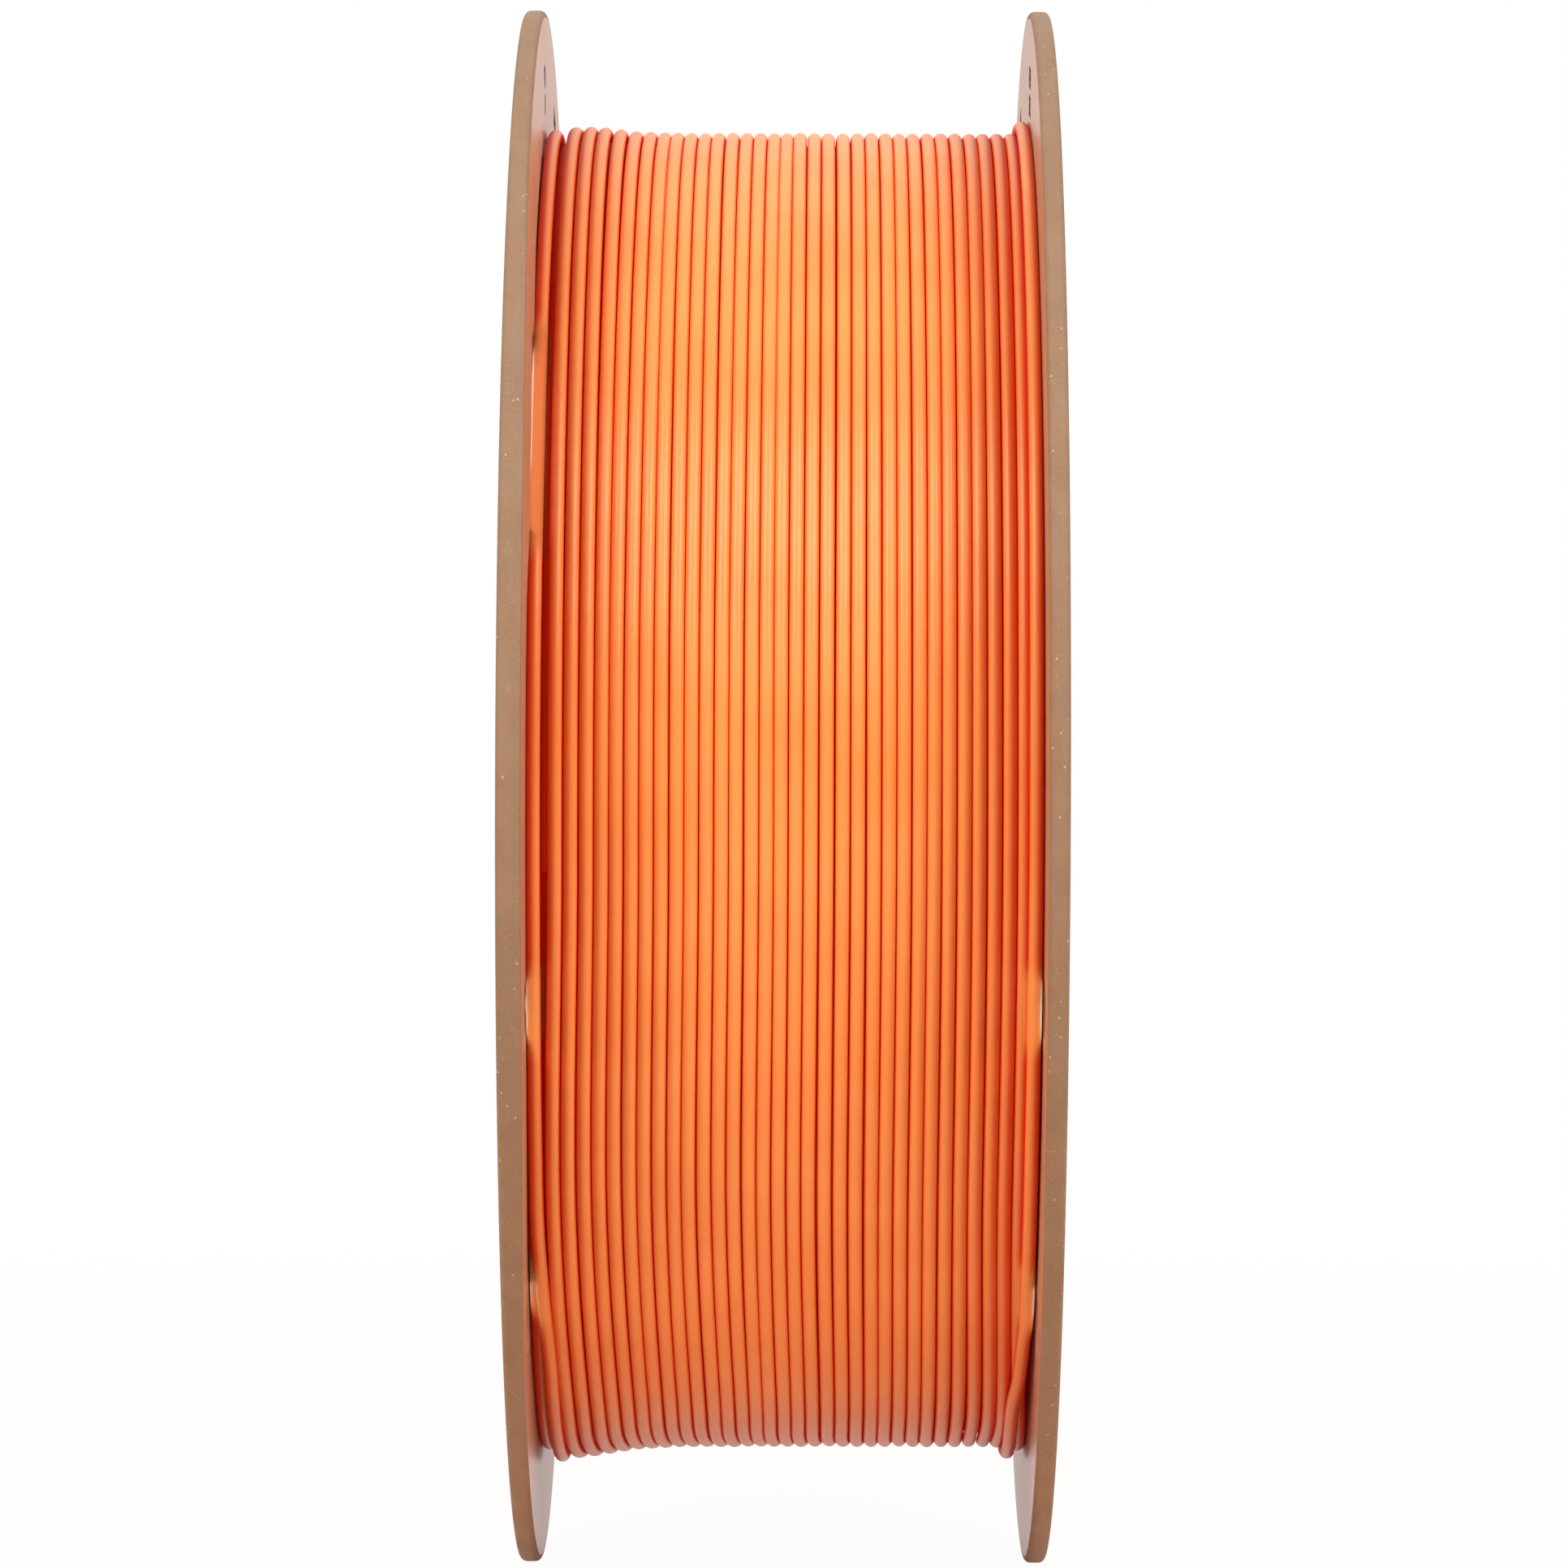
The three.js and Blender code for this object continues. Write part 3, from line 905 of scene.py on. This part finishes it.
def strand_places(laid):
    """Centre points of the outer layer's strand."""
    across = outer_place(laid)
    across = np.where(laid < FIRST_FREE, eased_keys(FIRST_SIDE_KEYS, laid) * MM, across)
    across = np.where(laid > LAST_TURN - 1, eased_keys(LAST_SIDE_KEYS, laid) * MM, across)
    lift = outer_lift(laid) + eased_keys(LAST_LIFT_KEYS, laid) * MM
    lift = lift + eased_keys(FIRST_LIFT_KEYS, laid) * LAYER_DROP
    wander = 0.03 * MM * np.sin(laid * 8.61 + 0.4) + 0.02 * MM * np.sin(laid * 19.7 + 1.9)
    breathe = 0.03 * MM * np.sin(laid * 11.3 + 2.0) + 0.02 * MM * np.sin(laid * 29.1)
    free = smooth(laid, 0, 0.5) * (1 - smooth(laid, LAST_TURN - 1.5, LAST_TURN - 1))
    return round_the_spool(across + wander * free, TOP_RADIUS + lift + breathe * free, laid)


def tail_places(start):
    """The free end turns towards the right flange and runs straight into the tie hole."""
    radius = math.hypot(start[1], start[2])
    before = math.atan2(start[2], -start[1])
    after = math.radians(TAIL_ANGLE)
    after += 2 * math.pi * round((before - after) / (2 * math.pi))
    places = []
    for i in range(1, TAIL_STEPS + 1):
        quarter = i / TAIL_STEPS * math.pi / 2
        angle = before + (after - before) * math.sin(quarter)
        x = start[0] + TAIL_BEND * (1 - math.cos(quarter))
        places.append((x, -radius * math.cos(angle), radius * math.sin(angle)))
    places.append((OUTER_FACE - 0.3 * MM, places[-1][1], places[-1][2]))
    return np.array(places)


def along_rows(vectors):
    """The same directions, each one long."""
    return vectors / np.linalg.norm(vectors, axis=1)[:, None]


def tube_mesh(name, places, sides, shown=True):
    """A closed tube along the places, as thick as the strand, with a ring of corners at each.

    Where it is shown, each corner also keeps how far it faces outward and along the axle.
    """
    forward = along_rows(np.gradient(places, axis=0))
    sideways = along_rows(np.cross(forward, along_rows(places * np.array([0.0, 1.0, 1.0]))))
    outward = np.cross(sideways, forward)
    turn = np.linspace(0, 2 * math.pi, sides, endpoint=False)
    crest, flank = np.cos(turn)[None, :, None], np.sin(turn)[None, :, None]
    ring = crest * outward[:, None, :] + flank * sideways[:, None, :]
    corners = (places[:, None, :] + STRAND / 2 * ring).reshape(-1, 3)
    rows = np.arange(len(places) - 1)[:, None] * sides
    here = np.arange(sides)[None, :]
    after = (here + 1) % sides
    quads = [rows + here, rows + after, rows + sides + after, rows + sides + here]
    faces = np.stack(quads, axis=2).reshape(-1, 4).tolist()
    last = (len(places) - 1) * sides
    faces.append(list(range(sides))[::-1])
    faces.append([last + k for k in range(sides)])
    mesh = bpy.data.meshes.new(name)
    mesh.from_pydata(corners.tolist(), [], faces)
    if shown:
        section = np.zeros_like(ring)
        section[:, :, 0] = np.cos(turn)
        section[:, :, 1] = ring[:, :, 0]
        kept = mesh.attributes.new("section", "FLOAT_VECTOR", "POINT")
        kept.data.foreach_set("vector", section.ravel())
    mesh.update()
    return mesh


def make_outer_layer():
    turns = last_laid() - FIRST_LAID
    laid = np.linspace(FIRST_LAID, last_laid(), round(turns * STEPS_PER_TURN))
    places = strand_places(laid)
    places = np.vstack([places, tail_places(places[-1])])
    mesh = tube_mesh("outer_turns", places, STRAND_SIDES)
    new_piece("filament_outer_turns", mesh, filament,
              ["filament_outer_layer"], sharp=50)
    length = np.linalg.norm(np.diff(places, axis=0), axis=1).sum()
    print("outer layer: strand of", round(length, 2), "m in", round(turns, 1), "turns")


make_outer_layer()

# %% [markdown]
# ### The layer below
#
# Here and there a gap shows the turns underneath, dark and red. They run the other way
# across the spool. Below them nothing is ever seen, so a ribbed drum stands for the rest.

# %% Layer below and drum
BELOW_TURNS = 32
BELOW_STEPS_PER_TURN = 96
BELOW_SIDES = 10
BELOW_LAST_PLACE = -28.15 * MM
FIRST_OVER = -29.6 * MM  # what the outer layer's first turn lies on
DRUM_RIBS = 34
STEPS_PER_RIB = 6
DRUM_STEPS = 120
DRUM_END = INNER_FACE - 0.35 * MM
DRUM_BORE = TUBE_RADIUS + 0.3 * MM


def below_place(laid):
    """Distance along the axle of the layer below, whose last turn is the one at -1."""
    turn, degrees = split_turns(laid)
    return BELOW_LAST_PLACE - 1.80 * MM * smooth(degrees, -30, 60) - PITCH * (turn + 1)


def make_layer_below():
    steps = BELOW_TURNS * BELOW_STEPS_PER_TURN
    laid = np.linspace(FIRST_LAID - BELOW_TURNS, FIRST_LAID, steps)
    across = below_place(laid)
    _, degrees = split_turns(laid)
    over = (across - FIRST_OVER) / PITCH  # the turn of the outer layer that lies on this one
    lift = swelling(degrees) * (0.80 + 0.85 * np.exp(-np.clip(over, 0, None) / 4))
    lift = lift + 0.65 * np.exp(-(((over - 1.5) / 3) ** 2)) * smooth(-laid, 1.0, 2.0)
    lift = lift - 0.10 * smooth(-laid, 1.3, 1.9)
    places = round_the_spool(across, TOP_RADIUS - LAYER_DROP + lift * MM, laid)
    mesh = tube_mesh("turns_below", places, BELOW_SIDES, shown=False)
    new_piece("filament_turns_below", mesh, filament,
              ["filament_lower_layers"], sharp=60)


def make_drum():
    below = TOP_RADIUS - 2 * LAYER_DROP
    profile = [(DRUM_BORE, -DRUM_END), (below, -DRUM_END)]
    for i in range(DRUM_RIBS * STEPS_PER_RIB + 1):
        x = -DRUM_END + 2 * DRUM_END * i / (DRUM_RIBS * STEPS_PER_RIB)
        rise = abs(math.sin(math.pi * i / STEPS_PER_RIB))
        profile.append((below + STRAND / 2 * rise, x))
    profile += [(below, DRUM_END), (DRUM_BORE, DRUM_END)]
    mesh = turned_mesh("drum", profile, DRUM_STEPS)
    new_piece("filament_drum", mesh, filament, sharp=60)


make_layer_below()
make_drum()
print("layer below and drum made")

# %% [markdown]
# ## Labels
#
# A spool is sold with a sticker on its side. Ours stay free of words: a thin ruled frame,
# a chip of the filament's colour and a few empty lines to write on.


# %% Label material and stickers
MARGIN = 2.5  # millimetres, as are the sizes of the printing
FRAME_LINE = 0.35
CHIP_GAP = 2.0
RULED_LINES = 4
RULED_LINE = 0.3
STICKER_CORNER = 2.5 * MM
STICKER_EDGE = 0.03 * MM


def inside_box(y, z, low_y, high_y, low_z, high_z):
    """1 inside a rectangle on the face, 0 outside it."""
    return y.between(low_y, high_y, 0.05) * z.between(low_z, high_z, 0.05)


def label_material(name, width, height, up):
    """A printed sticker. Its sizes and the height of its middle are in millimetres."""
    shader = Shader(name)
    place = shader.place()
    _, y, z = shader.split(place)
    clouds = shader.noise(place, 0.2, 2.0)
    colour = shader.blend(clouds.above(0.5, 0.2), srgb(238, 237, 233), srgb(244, 243, 240))
    left, right = MARGIN - width / 2, width / 2 - MARGIN
    low, high = up - height / 2 + MARGIN, up + height / 2 - MARGIN
    ruled = inside_box(y, z, left, right, low, high) - inside_box(
        y, z, left + FRAME_LINE, right - FRAME_LINE, low + FRAME_LINE, high - FRAME_LINE)
    colour = shader.blend(ruled, colour, srgb(70, 66, 62))
    chip_right = left + (high - low) - CHIP_GAP
    chip = inside_box(y, z, left + CHIP_GAP, chip_right, low + CHIP_GAP, high - CHIP_GAP)
    colour = shader.blend(chip, colour, srgb(240, 128, 64))
    for i in range(RULED_LINES):
        line = low + (high - low) * (i + 0.75) / (RULED_LINES + 0.4)
        ruled = inside_box(y, z, chip_right + 3.0, right - MARGIN, line, line + RULED_LINE)
        colour = shader.blend(ruled, colour, srgb(120, 116, 110))
    relief = shader.bump(shader.noise(place, 2.0), 0.02 * MM, 0.3)
    return shader.finish(shader.principled({
        "Base Color": colour, "Roughness": 0.42, "Normal": relief, "IOR": 1.45}))


def rounded_rectangle(width, height, up, corner, steps=8):
    """Y and Z along the outline of a rectangle whose middle is at this height."""
    points = []
    for turn, side_y, side_z in ((0, 1, 1), (90, -1, 1), (180, -1, -1), (270, 1, -1)):
        for i in range(steps + 1):
            angle = math.radians(turn + 90 * i / steps)
            y = side_y * (width / 2 - corner) + corner * math.cos(angle)
            z = up + side_z * (height / 2 - corner) + corner * math.sin(angle)
            points.append((y, z))
    return points


def make_label(word, side):
    low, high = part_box(f"{word}_label")
    width, height, up = high.y - low.y, high.z - low.z, (high.z + low.z) / 2
    near, far = sorted((low.x, high.x), key=abs)
    shaped = bmesh.new()
    rings = []
    for x, inset in ((near, 0), (far - side * STICKER_EDGE, 0), (far, STICKER_EDGE)):
        outline = rounded_rectangle(
            width - 2 * inset, height - 2 * inset, up, STICKER_CORNER - inset)
        rings.append([shaped.verts.new((x, y, z)) for y, z in outline])
    for here, there in zip(rings, rings[1:]):
        bridge(shaped, here, there)
    shaped.faces.new(rings[0])
    shaped.faces.new(rings[-1])
    mesh = finished_mesh(f"{word}_sticker", shaped)
    material = label_material(f"{word}_label_print", width / MM, height / MM, up / MM)
    new_piece(f"{word}_sticker", mesh, material, [f"{word}_label"], sharp=30)


for word, side in SIDES:
    make_label(word, side)
print("labels made")

# %% [markdown]
# ## Floor, light and background
#
# The photo is a cut-out on pure white. A white floor gives that if the camera sees it
# glow, and a share of real shading keeps the spool's shadow. The light is broad and soft:
# a large panel on either side, set high, a pale wall behind, and what the table throws
# back. The flanges shade the panel on their own side, which is why the outer turns are
# bright on their inner edge.

# %% Stage
FLOOR_TOP = frame_box[0][2]
FLOOR_RADIUS = 6.0
FLOOR_STEPS = 96
WHITE = (1, 1, 1, 1)
SHADOW_SHARE = 0.05
SHADOW_ENDS = (700.0, 450.0)  # millimetres from the middle, and the softness of that end
MIRRORED_FROM = (-10.0, 50.0)  # Y, in millimetres, behind which the floor is white in a mirror
WALL_FROM = (0.06, 0.3)  # Y of the direction in which the pale wall begins
TABLE_LIGHT = 0.225
TABLE_COLOUR = srgb(226, 206, 192)
WALL_LIGHT = 1.0
ROOM_LIGHT = 0.02
PANEL_PLACE = (0.72, -0.79, 0.88)  # of the right one
PANEL_SIZE = (0.6, 0.8)
PANEL_POWER = 14.1


def floor_material():
    shader = Shader("floor_white")
    x, y, _ = shader.split(shader.place())
    far_away = ((x * x + y * y) ** 0.5).above(*SHADOW_ENDS)
    camera, glossy, through = shader.seen_directly()
    seen = camera + through + glossy * y.above(*MIRRORED_FROM)
    matte = shader.node("ShaderNodeBsdfDiffuse", None, {"Color": TABLE_COLOUR})
    light = {"Color": TABLE_COLOUR, "Strength": TABLE_LIGHT}
    thrown_back = shader.node("ShaderNodeEmission", None, light)
    table = shader.node("ShaderNodeAddShader", None, {0: matte, 1: thrown_back})
    glow = shader.node("ShaderNodeEmission", None, {"Color": WHITE, "Strength": 1.0})
    share = seen * (far_away * SHADOW_SHARE + (1.0 - SHADOW_SHARE))
    return shader.finish(shader.mix(share, table, glow))


def make_floor():
    shaped = bmesh.new()
    bmesh.ops.create_circle(shaped, cap_ends=True, segments=FLOOR_STEPS, radius=FLOOR_RADIUS)
    bmesh.ops.translate(shaped, verts=shaped.verts, vec=(0, 0, FLOOR_TOP))
    mesh = bpy.data.meshes.new("floor")
    shaped.to_mesh(mesh)
    shaped.free()
    mesh.materials.append(floor_material())
    add_object("floor", mesh)


def make_world():
    """White where it is seen. As light, a pale wall behind the spool and a dim room in front."""
    shader = Shader("studio", bpy.data.worlds)
    _, y, _ = shader.split(shader.node("ShaderNodeTexCoord", output="Generated"))
    behind = y.above(*WALL_FROM)
    camera, glossy, through = shader.seen_directly()
    white, wall, room = (
        shader.node("ShaderNodeBackground", None, {"Color": WHITE, "Strength": strength})
        for strength in (1.0, WALL_LIGHT, ROOM_LIGHT))
    light = shader.mix(behind, room, wall)
    both = shader.mix(camera + through + glossy * behind, light, white)
    bpy.context.scene.world = shader.finish(both, "ShaderNodeOutputWorld")


def make_panel(word, side):
    """A soft light panel that faces the spool."""
    data = bpy.data.lights.new(f"panel_{word}", "AREA")
    data.shape = "RECTANGLE"
    data.size, data.size_y = PANEL_SIZE
    data.energy = PANEL_POWER
    x, y, z = PANEL_PLACE
    lamp = add_object(f"panel_{word}", data)
    lamp.location = (side * x, y, z)
    lamp.rotation_euler = Vector((-side * x, -y, -z)).to_track_quat("-Z", "Y").to_euler()


make_floor()
make_world()
for word, side in SIDES:
    make_panel(word, side)
bpy.context.scene.view_settings.view_transform = "Standard"
print("floor, world and lamps made")
